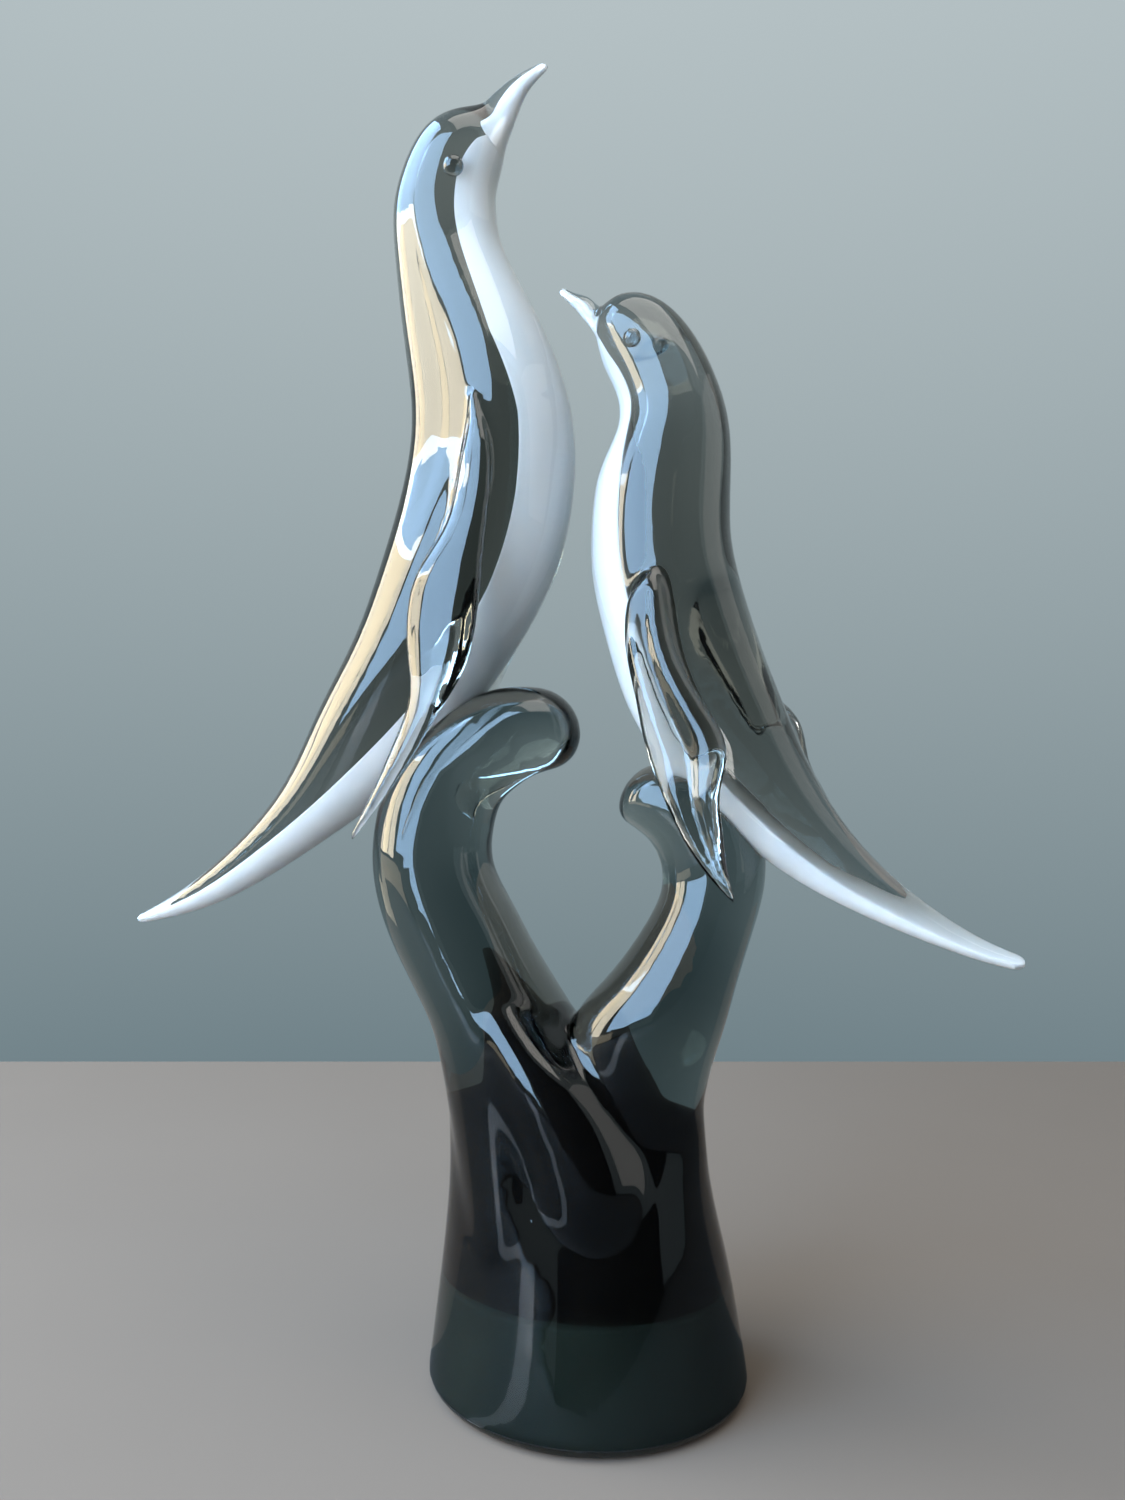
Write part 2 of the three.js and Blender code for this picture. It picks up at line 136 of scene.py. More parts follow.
# One mesh object, in metres, from shells in millimetres
def meshOf(name, shells):
    points = np.vstack([shell[0] for shell in shells]) * mm
    faces, start = [], 0
    for corners, *sides in shells:
        for side in sides:
            faces += (side + start).tolist()
        start += len(corners)
    mesh = bpy.data.meshes.new(name)
    mesh.from_pydata(points.tolist(), [], faces)
    mesh.validate()
    thing = bpy.data.objects.new(name, mesh)
    bpy.context.scene.collection.objects.link(thing)
    mesh.shade_smooth()
    return thing


# Bakes the object's modifiers into its mesh
def settle(thing):
    graph = bpy.context.evaluated_depsgraph_get()
    baked = bpy.data.meshes.new_from_object(thing.evaluated_get(graph))
    thing.modifiers.clear()
    old = thing.data
    thing.data = baked
    bpy.data.meshes.remove(old)
    baked.shade_smooth()
    return thing


# Melts overlapping shells into one skin, as hot glass does: voxels of that size, then rounds of even smoothing
def fuse(thing, voxel, rounds):
    melt = thing.modifiers.new("melt", "REMESH")
    melt.mode, melt.voxel_size, melt.use_smooth_shade = "VOXEL", voxel * mm, True
    polish = thing.modifiers.new("polish", "SMOOTH")
    polish.factor, polish.iterations = 0.5, rounds
    return settle(thing)


# Even smoothing: each round p += 0.8 w (mean of the neighbours - p), w from 0 to 1 by the point's place
def soften(thing, rounds, zoneOf):
    mesh = thing.data
    count = len(mesh.vertices)
    points = np.empty(count * 3, np.float32)
    mesh.vertices.foreach_get("co", points)
    points = points.reshape(-1, 3).astype(float)
    ends = np.empty(len(mesh.edges) * 2, np.int32)
    mesh.edges.foreach_get("vertices", ends)
    a, b = ends.reshape(-1, 2).T
    degree = (np.bincount(a, minlength=count) + np.bincount(b, minlength=count))[:, None]
    weight = 0.8 * zoneOf(points / mm)[:, None]
    for _ in range(rounds):
        total = np.stack([np.bincount(a, points[b, k], count) + np.bincount(b, points[a, k], count)
                          for k in range(3)], 1)
        points += weight * (total / degree - points)
    mesh.vertices.foreach_set("co", points.astype(np.float32).ravel())
    mesh.update()
    return thing


# Takes the tool's volume out of a piece and removes the tool
def cutBy(thing, tool):
    seat = thing.modifiers.new("seat", "BOOLEAN")
    seat.operation, seat.solver, seat.object = "DIFFERENCE", "MANIFOLD", tool
    settle(thing)
    bpy.data.objects.remove(tool)
    return thing


# Gives a finished piece its material and its body, and hides the nodes that it stands for
def dress(thing, material, slot, *nodes):
    thing.data.materials.clear()
    thing.data.materials.append(material)
    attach(thing, "root")
    if nodes:
        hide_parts(*nodes)
    return thing


# Clear glasses. Light left after d metres: exp(-density (1 - tint) d). Slow waves: their height and size in mm
glassKinds = {
    "bird_smoke_glass": {"tint": (0.62, 0.63, 0.61), "density": 100.0, "ripple": 0.12, "rippleSize": 26},
    "base_smoke_glass": {"tint": (0.36, 0.43, 0.42), "density": 60.0, "ripple": 0.10, "rippleSize": 34},
    "bead_clear_glass": {"tint": (0.30, 0.34, 0.34), "density": 260.0, "ripple": 0.02, "rippleSize": 6},
}
# Dark glass inside the trunk: brown veils drawn upward
darkKind = {"tint": (0.12, 0.09, 0.11), "density": 160.0, "scale": 60, "detail": 3.0, "drawn": 0.2,
            "from": 0.35, "to": 0.65, "dark": (0.35, 0.27, 0.22), "pale": (1.0, 0.93, 0.84)}
# White opal glass: faint clouds of density, drawn along the birds, and light scattered below the surface
opalKind = {"scale": 90, "detail": 3.0, "drawn": 0.14, "from": 0.3, "to": 0.7,
            "dark": (0.90, 0.93, 0.94), "pale": (0.97, 0.98, 0.98), "roughness": 0.6,
            "scatter": 0.2, "scatterColor": (0.9, 1.0, 1.1), "scatterDepth": 0.004}
# Thick grey-green glass of the foot: nearly black, with cloudy veils
footKind = {"scale": 22, "detail": 4.0, "drawn": 1.0, "from": 0.35, "to": 0.75,
            "dark": (0.006, 0.010, 0.008), "pale": (0.012, 0.018, 0.015), "roughness": 0.7}


def newMaterial(name):
    material = bpy.data.materials.new(name)
    material.use_nodes = True
    nodes, links = material.node_tree.nodes, material.node_tree.links
    return material, nodes, links, nodes["Principled BSDF"]


# Base colour from noise on Object coordinates, stretched upward by 1/drawn, between two colours
def addVeils(nodes, links, shader, kind):
    place = nodes.new("ShaderNodeTexCoord")
    draw = nodes.new("ShaderNodeMapping")
    draw.inputs["Scale"].default_value = (1.0, 1.0, kind["drawn"])
    veils = nodes.new("ShaderNodeTexNoise")
    veils.inputs["Scale"].default_value = kind["scale"]
    veils.inputs["Detail"].default_value = kind["detail"]
    shade = nodes.new("ShaderNodeValToRGB")
    stops = shade.color_ramp.elements
    stops[0].position, stops[0].color = kind["from"], (*kind["dark"], 1)
    stops[1].position, stops[1].color = kind["to"], (*kind["pale"], 1)
    links.new(place.outputs["Object"], draw.inputs["Vector"])
    links.new(draw.outputs["Vector"], veils.inputs["Vector"])
    links.new(veils.outputs["Fac"], shade.inputs["Fac"])
    links.new(shade.outputs["Color"], shader.inputs["Base Color"])


# Lets light through at a refractive index, and takes some away with depth
def addDepth(nodes, links, shader, index, kind):
    shader.inputs["Roughness"].default_value = 0.0
    shader.inputs["IOR"].default_value = index
    shader.inputs["Transmission Weight"].default_value = 1.0
    depth = nodes.new("ShaderNodeVolumeAbsorption")
    depth.inputs["Color"].default_value = (*kind["tint"], 1)
    depth.inputs["Density"].default_value = kind["density"]
    links.new(depth.outputs["Volume"], nodes["Material Output"].inputs["Volume"])


# Clear glass of index 1.5 whose tint comes from its thickness, with the slow waves of hand-worked glass
def glassMaterial(name, kind):
    material, nodes, links, shader = newMaterial(name)
    shader.inputs["Base Color"].default_value = (1, 1, 1, 1)
    addDepth(nodes, links, shader, 1.5, kind)
    place = nodes.new("ShaderNodeTexCoord")
    waves = nodes.new("ShaderNodeTexNoise")
    waves.inputs["Scale"].default_value = 1 / (kind["rippleSize"] * mm)
    waves.inputs["Detail"].default_value = 1.0
    links.new(place.outputs["Object"], waves.inputs["Vector"])
    bump = nodes.new("ShaderNodeBump")
    bump.inputs["Strength"].default_value = 1.0
    bump.inputs["Distance"].default_value = kind["ripple"] * mm
    links.new(waves.outputs["Fac"], bump.inputs["Height"])
    links.new(bump.outputs["Normal"], shader.inputs["Normal"])
    return material


# Darker glass fused inside clear glass: index 1, because nothing bends where the two meet
def insideMaterial(name, kind):
    material, nodes, links, shader = newMaterial(name)
    addVeils(nodes, links, shader, kind)
    addDepth(nodes, links, shader, 1.0, kind)
    return material


# Glass that light doesn't get through. It lies below clear glass, so it has no gloss of its own
def bodyMaterial(name, kind):
    material, nodes, links, shader = newMaterial(name)
    addVeils(nodes, links, shader, kind)
    shader.inputs["Roughness"].default_value = kind["roughness"]
    shader.inputs["Specular IOR Level"].default_value = 0.0
    return material, shader


birdGlass, baseGlass, beadGlass = (glassMaterial(name, kind) for name, kind in glassKinds.items())
darkGlass = insideMaterial("dark_amethyst_glass", darkKind)
opaline, opalShader = bodyMaterial("opaline_white", opalKind)
opalShader.inputs["Subsurface Weight"].default_value = opalKind["scatter"]
opalShader.inputs["Subsurface Radius"].default_value = opalKind["scatterColor"]
opalShader.inputs["Subsurface Scale"].default_value = opalKind["scatterDepth"]
footGlass = bodyMaterial("thick_green_glass", footKind)[0]
print("materials made")


# Each bird's seat above the table, and how its plane turns toward the viewer.
# Row columns: back x, back z, front x, front z, half width across, offset across.
leftBird = {
    "name": "left_bird", "seat": (-40.0, 250.0), "turn": 0.0,
    "beak": [(21, 251, 24, 248, 1.8, 0), (13, 248, 18, 243, 3, 0), (6, 244, 14, 237, 4.2, 0),
             (1, 240, 10, 228, 6, 0)],
    "body": [(-3, 238, 7, 221, 8, 0), (-15, 236, 5, 214, 13.5, 0), (-28, 227, 3, 206, 16, 0),
             (-37, 207, 3, 197, 17, 0), (-38, 184, 7, 180, 18.5, 0), (-34, 146, 22, 150, 23.5, 0),
             (-31, 118, 33, 118, 27, 0), (-34, 92, 34, 88, 28, 0), (-42, 62, 27, 57, 28, 0),
             (-54, 31, 7, 21, 26.5, 0), (-71, 1, -26, -17, 21, 0), (-90, -32, -68, -48, 14, 0),
             (-124, -64, -113, -74, 9, 0), (-152, -81, -149, -85, 5, 0)],
    "beakReach": 2.0, "tailReach": 6.0,
    "wing": [(2, 114, 4, 118, 2, -26.5), (1, 104, 9, 106, 3, -28), (-1, 93, 12, 95, 4, -29.5),
             (-4, 76, 12, 78, 5, -30.7), (-10, 62, 10, 58, 6.5, -32), (-19, 46, 8, 38, 7, -32.5),
             (-20, 24, 4, 18, 7, -33.5), (-18, 8, -5, 2, 6, -35), (-23, -8, -15, -14, 5, -36),
             (-31, -26, -27, -31, 3.5, -37), (-39, -42, -38, -45, 1.5, -38)],
    "farWing": [(6, 116, 10, 118, 1.5, 25), (4, 106, 16, 105, 2.5, 26), (4, 95, 21.5, 95, 3.5, 26.5),
                (3, 82, 24.5, 79, 4.5, 27), (-2, 66, 22.5, 65, 6, 28), (-10, 50, 16, 52, 7, 29),
                (-15, 32, 7, 38, 7, 30.5), (-18, 14, -2, 22, 6, 32), (-24, -4, -11, 4, 5, 33.5),
                (-32, -22, -21, -14, 3.5, 35), (-39, -38, -36, -36, 1.5, 36)],
    "coreAngles": [48, 60, 61, 62, 64, 64, 56, 54, 54, 58, 70, 80, 85, 88],
    "press": [{"depth": 0.184, "at": -116.0, "wide": 0.62, "from": 0.42, "to": 0.72},
              {"depth": -0.088, "at": -67.0, "wide": 0.42, "from": 0.46, "to": 0.72}],
    "wingLean": -2.5, "wingPress": [],
    "eye": {"row": 2.38, "angle": 68.0, "radius": 3.9}, "blend": (320.0, 385.0), "melt": 12,
}
rightBird = {
    "name": "right_bird", "seat": (45.0, 225.0), "turn": 10.0,
    "beak": [(-57, 193, -59, 190, 1.6, 0), (-52, 190, -54, 185, 2.6, 0), (-46, 187, -49, 179, 3.8, 0)],
    "body": [(-41, 183, -44, 172, 5, 0), (-32, 186, -42, 166, 9.5, 0), (-18, 182, -39, 157, 12.5, 0),
             (-5, 168, -34, 146, 14, 0), (4, 150, -34, 133, 15.5, 0), (9, 128, -41, 117, 20, 0),
             (9, 98, -44, 97, 22.5, 0), (13, 75, -43, 75, 23, 0), (21, 50, -36, 48, 22.5, 0),
             (30, 27, -23, 18, 21, 0), (44, -3, 4, -11, 17, 0), (66, -30, 38, -36, 11, 0),
             (91, -48, 82, -54, 7, 0), (107, -55, 105, -60, 4, 0)],
    "beakReach": 1.5, "tailReach": 4.0,
    "wing": [(-10, 75, -15, 74, 3, -24.5), (-7, 70, -20, 67, 5.5, -26), (-5, 60, -21, 55, 7, -27),
             (-2, 48, -19, 42, 7.5, -27.5), (4, 36, -16, 30, 7.5, -28), (12, 24, -13, 16, 7.5, -28),
             (17, 12, -9, 4, 7, -28.5), (15, -2, -4, -7, 6, -30), (16, -14, 3, -20, 5, -31),
             (18, -26, 12, -31, 3.5, -33), (21, -36, 20, -38, 1.5, -35)],
    "farWing": [(-11, 73.5, -13.5, 72, 2.5, 23.5), (-8, 70, -15.5, 66, 4.5, 25), (-4, 61, -13, 55, 6, 26),
                (2, 50.5, -8, 43.5, 7, 27), (10.5, 41, -2, 33, 7.5, 27.5), (21, 32, 4, 21, 7.5, 28),
                (29, 22.5, 10.5, 10.5, 7, 28.5), (31.5, 9.5, 17.5, 1, 6, 30), (36, -1, 26.5, -9.5, 5, 31),
                (41.5, -11.5, 37.5, -17.5, 3.5, 33), (47, -20, 46.5, -22, 1.5, 35)],
    "coreAngles": [60, 48, 48, 52, 60, 68, 70, 70, 70, 74, 80, 85, 86, 88],
    "press": [],
    "wingLean": 0.0, "wingPress": [{"depth": 0.5, "at": -90.0, "wide": 0.5, "from": 0.0, "to": 1.0}],
    "eye": {"row": 2.5, "angle": 90.0, "radius": 3.4}, "blend": (285.0, 320.0), "melt": 20,
}


# Turns bird points about its seat's upright and sets them at the seat
def placeBird(bird, points):
    turn = math.radians(-bird["turn"])
    x, y, z = points[..., 0], points[..., 1], points[..., 2]
    return np.stack([bird["seat"][0] + x * math.cos(turn) - y * math.sin(turn),
                     x * math.sin(turn) + y * math.cos(turn), bird["seat"][1] + z], -1)


def birdRows(bird, samples=260):
    return withEnds(splineRows(bird["beak"] + bird["body"], samples), bird["beakReach"], bird["tailReach"])


# Clear skin: points round the body and the wings, their flutes, and how they are melted together.
# The joint of wing and body is softened between the two heights of "blend", fading out over "fade"
skinShape = {"around": 160, "flute": 0.035, "seed": 3, "voxel": 0.96, "polish": 8, "fade": (25, 15)}
wingShape = {"samples": 120, "reach": 2.0, "around": 80, "flute": 0.09, "seed": 5}


# Body, beak skin and both wings as one fused skin
def makeBirdGlass(bird):
    skin, wing, name = skinShape, wingShape, bird["name"]
    grids = [ovalGrid(birdRows(bird), skin["around"], 0.0, skin["flute"], skin["seed"], bird["press"])]
    for rows, lean, press in ((bird["wing"], bird["wingLean"], bird["wingPress"]), (bird["farWing"], 0.0, ())):
        rows = withEnds(splineRows(rows, wing["samples"]), wing["reach"], wing["reach"])
        grids.append(ovalGrid(rows, wing["around"], 0.0, wing["flute"], wing["seed"], press, lean))
    glass = meshOf(name + "_glass", [shellOf(placeBird(bird, grid)) for grid in grids])
    fuse(glass, skin["voxel"], skin["polish"])
    low, high = bird["blend"]
    out, into = skin["fade"]
    soften(glass, bird["melt"], lambda p: ramp(p[:, 2], low - out, low + into) * (1 - ramp(p[:, 2], high, high + out)))
    return dress(glass, birdGlass, "bird_smoke_glass", name + "_back", name + "_near_wing", name + "_far_wing")


# White core: how far it stays inside the skin, less at the throat, and how far its back bulges at neck and tail
coreShape = {"samples": 220, "front": 61, "rear": 26, "skin": 1.2, "throatSkin": 0.35, "addedSkin": 0.65,
             "throatEnd": 1.5, "skinLimit": 0.3, "bulge": 0.05, "tailBulge": 0.3, "tailRows": (9, 12), "tailGap": 1.5}


# White core: skin arc (h-d) cos v, (w-d) sin v for |v| < seam, closed by a shallow arc behind
def makeCore(bird):
    shape = coreShape
    rows = splineRows(bird["body"], shape["samples"])
    rows = np.vstack([rows, roundEnd(rows, bird["tailReach"] - shape["tailGap"])])
    middle, toFront, half, width = sectionsOf(rows)
    u = np.linspace(0, len(bird["body"]) - 1, len(rows))[:, None]
    skin = shape["skin"] * (shape["throatSkin"] + shape["addedSkin"] * ramp(u[:, 0], 0, shape["throatEnd"]))
    skin = np.minimum(skin, shape["skinLimit"] * np.minimum(half, width))
    h, w = (half - skin)[:, None], (width - skin)[:, None]
    angles = bird["coreAngles"]
    seam = np.radians(np.interp(u, np.arange(len(angles)), angles))
    bulge = shape["bulge"] + (shape["tailBulge"] - shape["bulge"]) * ramp(u, *shape["tailRows"])
    front = np.linspace(-1, 1, shape["front"])[None]
    rear = np.linspace(0, np.pi, shape["rear"])[1:-1][None]
    along = np.hstack([h * np.cos(seam * front), h * np.cos(seam) - bulge * h * np.sin(rear)])
    across = np.hstack([w * np.sin(seam * front), w * np.sin(seam) * np.cos(rear)])
    grid = middle[:, None] + along[..., None] * toFront[:, None]
    grid[..., 1] += across
    core = meshOf(bird["name"] + "_core", [shellOf(placeBird(bird, grid))])
    return dress(core, opaline, "opaline_glass", bird["name"] + "_breast")


# White beak: the share of its chord left clear behind it at the tip and at the root, and the skin before it
beakShape = {"samples": 90, "left": -9, "around": 48, "clear": (0.30, 0.42), "skin": 0.4, "skinLimit": 0.1,
             "narrow": 0.86, "tipReach": 1.0, "rootReach": 1.5}


# White beak inside its skin: back edge moved in by clear * chord, front edge by skin, width times narrow
def makeBeak(bird):
    shape = beakShape
    rows = splineRows(bird["beak"] + bird["body"][:2], shape["samples"])[:shape["left"]]
    chord = rows[:, 2:4] - rows[:, :2]
    length = np.linalg.norm(chord, axis=1, keepdims=True)
    inner = rows.copy()
    inner[:, :2] = rows[:, :2] + chord * np.linspace(*shape["clear"], len(rows))[:, None]
    inner[:, 2:4] = rows[:, 2:4] - chord / length * np.minimum(shape["skin"], shape["skinLimit"] * length)
    inner[:, 4] = rows[:, 4] * shape["narrow"]
    inner = withEnds(inner, shape["tipReach"], shape["rootReach"])
    grid = ovalGrid(inner, shape["around"])
    beak = meshOf(bird["name"] + "_beak_white", [shellOf(placeBird(bird, grid))])
    return dress(beak, opaline, "opaline_glass", bird["name"] + "_beak")


# Bead: its height outside and inside the head as shares of its radius, how far it stands out, and its points
beadShape = {"rise": 0.9, "sink": 0.3, "proud": 0.3, "rings": 40, "around": 48, "pole": 0.02, "rowSteps": 20}


# A bead on each side of the head: r(s) = radius * sin s, height = rise or sink * radius * cos s
def makeEyes(bird):
    eye, shape = bird["eye"], beadShape
    steps = shape["rowSteps"]
    row = splineRows(bird["body"], (len(bird["body"]) - 1) * steps + 1)[round(eye["row"] * steps)][None]
    middle, toFront, half, width = (part[0] for part in sectionsOf(row))
    angle = math.radians(eye["angle"])
    s = np.linspace(shape["pole"], np.pi - shape["pole"], shape["rings"])[:, None]
    v = np.linspace(0, 2 * np.pi, shape["around"], endpoint=False)[None]
    share = np.where(np.cos(s) > 0, shape["rise"], shape["sink"])
    rise = share * eye["radius"] * np.cos(s)
    radius = eye["radius"] * np.sin(s)
    for side, word in ((-1, "near"), (1, "far")):
        center = middle + toFront * half * math.cos(angle) + np.array([0, side * width * math.sin(angle), 0])
        outward = toFront * math.cos(angle) / half + np.array([0, side * math.sin(angle) / width, 0])
        outward /= np.linalg.norm(outward)
        flat = np.cross(outward, [0, 0, 1.0])
        flat /= np.linalg.norm(flat)
        upright = np.cross(outward, flat)
        grid = (center + (rise + shape["proud"])[..., None] * outward + (radius * np.cos(v))[..., None] * flat
                + (radius * np.sin(v))[..., None] * upright)
        bead = meshOf(f"{bird['name']}_{word}_bead", [shellOf(placeBird(bird, grid))])
        dress(bead, beadGlass, "clear_glass", f"{bird['name']}_{word}_eye")


for bird in (leftBird, rightBird):
    makeBirdGlass(bird)
    makeCore(bird)
    makeBeak(bird)
    makeEyes(bird)
    print(bird["name"], "made")


# Foot and trunk. Columns: height, half width, half depth, lean to -X
baseShape = {
    "rows": [(0, 61, 55.5, 0), (40, 55.5, 45, 1), (64, 51.8, 39.5, 2.5),
             (84, 50, 33, 4), (100, 50, 26, 5), (112, 48, 22, 5)],
    "samples": 60, "footEdge": 4.0, "topReach": 5.0, "domeRows": 12, "around": 160, "flute": 0.002,
    "voxel": 1.3, "polish": 16, "seatGap": 0.25, "seatAround": 96,
    "soften": 20, "trunkFrom": (50, 80), "trunkTo": (120, 150), "knobsFrom": (200, 225),  # softened heights
}
# Branch rows have a bird's columns. They start inside the trunk, so that the fork melts together
leftBranch = {
    "rows": [(-47, 56, 10, 56, 38.8, 0), (-48, 70, 8, 70, 37.5, 0), (-52, 94, 6, 94, 33.5, 0),
             (-57, 118, 4, 118, 31, 0), (-62, 134, -6, 137, 29, 0), (-72, 152, -21, 160, 26.5, 0),
             (-81, 170, -30, 176, 25, 0), (-86, 190, -38, 191, 23.5, 0), (-85, 210, -39, 203, 22.5, 0),
             (-79, 229, -37, 212, 21.5, 0), (-66, 246, -34, 218, 20.5, 0), (-48, 257, -28, 223, 20, 0),
             (-33, 262, -22, 227, 18.5, 0), (-21, 262, -16, 229, 17, 0)],
    "samples": 160, "rootReach": 6.0, "reach": 16.0, "flute": 0.02, "press": [],
}
rightBranch = {
    "rows": [(38, 70, -8, 70, 20, 0), (42, 94, -8, 94, 23, 0), (47, 118, -7, 118, 26, 0),
             (52, 134, -4, 137, 28, 0), (57, 152, 9, 153, 26, 0), (63, 172, 22, 171, 22, 0),
             (67, 190, 29, 186, 20, 0), (65, 208, 28, 197, 19, 0), (55, 223, 24, 204, 18.5, 0),
             (40, 232, 20, 207, 17.5, 0), (29, 233, 18, 209, 15, 0)],
    "samples": 160, "rootReach": 6.0, "reach": 10.0, "flute": 0.02,
    "press": [{"depth": 0.04, "at": -75.0, "wide": 0.5, "from": 0.2, "to": 0.75}],
}
# Lobe on the trunk's front, whose left flank carries the slanting reflections
frontLobe = {
    "rows": [(-16, 56, 36, 56, 34, -2), (-20, 76, 34, 76, 35.5, -4.5), (-23, 88, 31, 88, 35, -5),
             (-28, 100, 26, 100, 33.5, -5.5), (-35, 116, 15, 116, 31.5, -5.5), (-41, 130, -1, 130, 28.5, -4),
             (-48, 142, -14, 143, 25, -2.5), (-55, 154, -24, 157, 21.5, 0)],
    "samples": 90, "rootReach": 6.0, "reach": 6.0, "flute": 0.0, "press": [],
}
limbShape = {"around": 128, "seed": 8}   # points round a branch or the lobe
trunkWaves = {"counts": (7, 11, 16, 23), "offset": 1.7, "drift": 0.01}  # flutes round the trunk, turning as they rise


# Skin x = r W cos v - lean, y = r D sin v, z = height, r = 1 + flute * sum of sin(n v + offset n + drift z) / sqrt n
def baseGrid(rows, around=160, flute=0.0):
    v = np.linspace(0, 2 * np.pi, around, endpoint=False)[None]
    offset, drift = trunkWaves["offset"], trunkWaves["drift"]
    r = 1 + flute * sum(np.sin(n * v + offset * n + drift * rows[:, 0:1]) / n ** 0.5 for n in trunkWaves["counts"])
    x = r * rows[:, 1:2] * np.cos(v)
    y = r * rows[:, 2:3] * np.sin(v)
    return np.stack([x - rows[:, 3:4], y, np.broadcast_to(rows[:, 0:1], x.shape)], -1)


# Adds a dome over the last row: height + reach sin a, half width and half depth times cos a
def withDome(rows, reach, count):
    a = np.linspace(0, np.pi / 2, count)[1:-1]
    dome = np.repeat(rows[-1:], len(a), 0)
    dome[:, 0] += reach * np.sin(a)
    dome[:, 1:3] *= np.cos(a)[:, None]
    return np.vstack([rows, dome])


# The trunk's rows between two heights
def trunkRows(low, high, count, steps=400):
    table = splineRows(baseShape["rows"], steps)
    heights = np.linspace(low, high, count)
    return np.stack([np.interp(heights, table[:, 0], table[:, k]) for k in range(4)], 1)


# Foot, trunk, both branches and the lobe as one fused skin. The foot's lower edge is pulled in by
# e (1 - sqrt(1 - (1 - z/e)^2)), and the birds' bodies are cut out of it for their seats
def makeBase():
    shape = baseShape
    rows = splineRows(shape["rows"], shape["samples"])
    edge = shape["footEdge"]
    rows[:, 1:3] -= (edge * (1 - np.sqrt(1 - np.clip(1 - rows[:, 0] / edge, 0, 1) ** 2)))[:, None]
    rows = withDome(rows, shape["topReach"], shape["domeRows"])
    shells = [shellOf(baseGrid(rows, shape["around"], shape["flute"]))]
    for limb in (leftBranch, rightBranch, frontLobe):
        rows = withEnds(splineRows(limb["rows"], limb["samples"]), limb["rootReach"], limb["reach"])
        shells.append(shellOf(ovalGrid(rows, limbShape["around"], 0.0, limb["flute"], limbShape["seed"],
                                       limb["press"])))
    base = fuse(meshOf("base_glass", shells), shape["voxel"], shape["polish"])
    soften(base, shape["soften"],
           lambda p: ramp(p[:, 2], *shape["trunkFrom"]) * (1 - ramp(p[:, 2], *shape["trunkTo"]))
           + ramp(p[:, 2], *shape["knobsFrom"]))
    for bird in (leftBird, rightBird):
        body = ovalGrid(birdRows(bird), shape["seatAround"], shape["seatGap"])
        cutBy(base, meshOf("seat_tool", [shellOf(placeBird(bird, body))]))
    co = np.zeros(len(base.data.vertices) * 3)
    base.data.vertices.foreach_get("co", co)
    co = co.reshape(-1, 3)
    co[:, 2] = np.maximum(co[:, 2], 0)   # flat underside
    base.data.vertices.foreach_set("co", co.ravel())
    return dress(base, baseGlass, "smoke_glass", "foot", "trunk_casing", "left_branch", "right_branch")


# Dark plug: its foot and shoulder, the wall of clear glass round it below and above, and its arms:
# how many of a limb's rows each follows, its share of the limb's size at the tip, and its shift in x
darkShape = {
    "foot": 40.3, "shoulder": 98.0, "rows": 30, "reach": 18.0, "domeRows": 14, "around": 128,
    "wall": 1.2, "addedWall": 5.5, "wallHeight": 40, "armStart": 0.86, "armSamples": 60, "armAround": 96,
    "armRootReach": 6.0, "armReach": 4.0, "voxel": 1.3, "polish": 10,
    "arms": [{"limb": leftBranch, "follows": 6, "tip": 0.1, "shift": 6.0},
             {"limb": rightBranch, "follows": 4, "tip": 0.1, "shift": -8.0},
             {"limb": frontLobe, "follows": 6, "tip": 0.7, "shift": 0.0}],
}


# Dark plug in the trunk, a wall's thickness inside its skin, with a domed top and an arm into each limb
def makeDarkCore():
    shape = darkShape
    foot = shape["foot"]
    rows = trunkRows(foot, shape["shoulder"], shape["rows"])
    thicker = ramp(rows[:, 0], foot, foot + shape["wallHeight"])
    rows[:, 1:3] -= (shape["wall"] + shape["addedWall"] * thicker)[:, None]
    shells = [shellOf(baseGrid(withDome(rows, shape["reach"], shape["domeRows"]), shape["around"]))]
    for arm in shape["arms"]:
        inner = splineRows(arm["limb"]["rows"][:arm["follows"]], shape["armSamples"])
        middle = (inner[:, :2] + inner[:, 2:4]) / 2 + np.array([arm["shift"], 0])
        slim = np.linspace(shape["armStart"], arm["tip"], len(inner))[:, None]
        inner[:, :2] = middle + (inner[:, :2] - middle) * slim
        inner[:, 2:4] = middle + (inner[:, 2:4] - middle) * slim
        inner[:, 4] *= slim[:, 0]
        inner = withEnds(inner, shape["armRootReach"], shape["armReach"])
        shells.append(shellOf(ovalGrid(inner, shape["armAround"])))
    core = fuse(meshOf("trunk_dark_core", shells), shape["voxel"], shape["polish"])
    return dress(core, darkGlass, "dark_glass", "dark_core")


footShape = {"low": 1.0, "high": 39.8, "rows": 24, "around": 160, "skin": 1.2, "addedSkin": 2.5, "edge": 6}


# Grey-green body of the foot, a thin skin's depth inside it, which no light gets through
def makeFootBody():
    shape = footShape
    rows = trunkRows(shape["low"], shape["high"], shape["rows"])
    rows[:, 1:3] -= (shape["skin"] + shape["addedSkin"] * (1 - ramp(rows[:, 0], 0, shape["edge"])))[:, None]
    body = meshOf("foot_body", [shellOf(baseGrid(rows, shape["around"]))])
    return dress(body, footGlass, "foot_glass")


makeBase()
makeDarkCore()
makeFootBody()
print("base made")


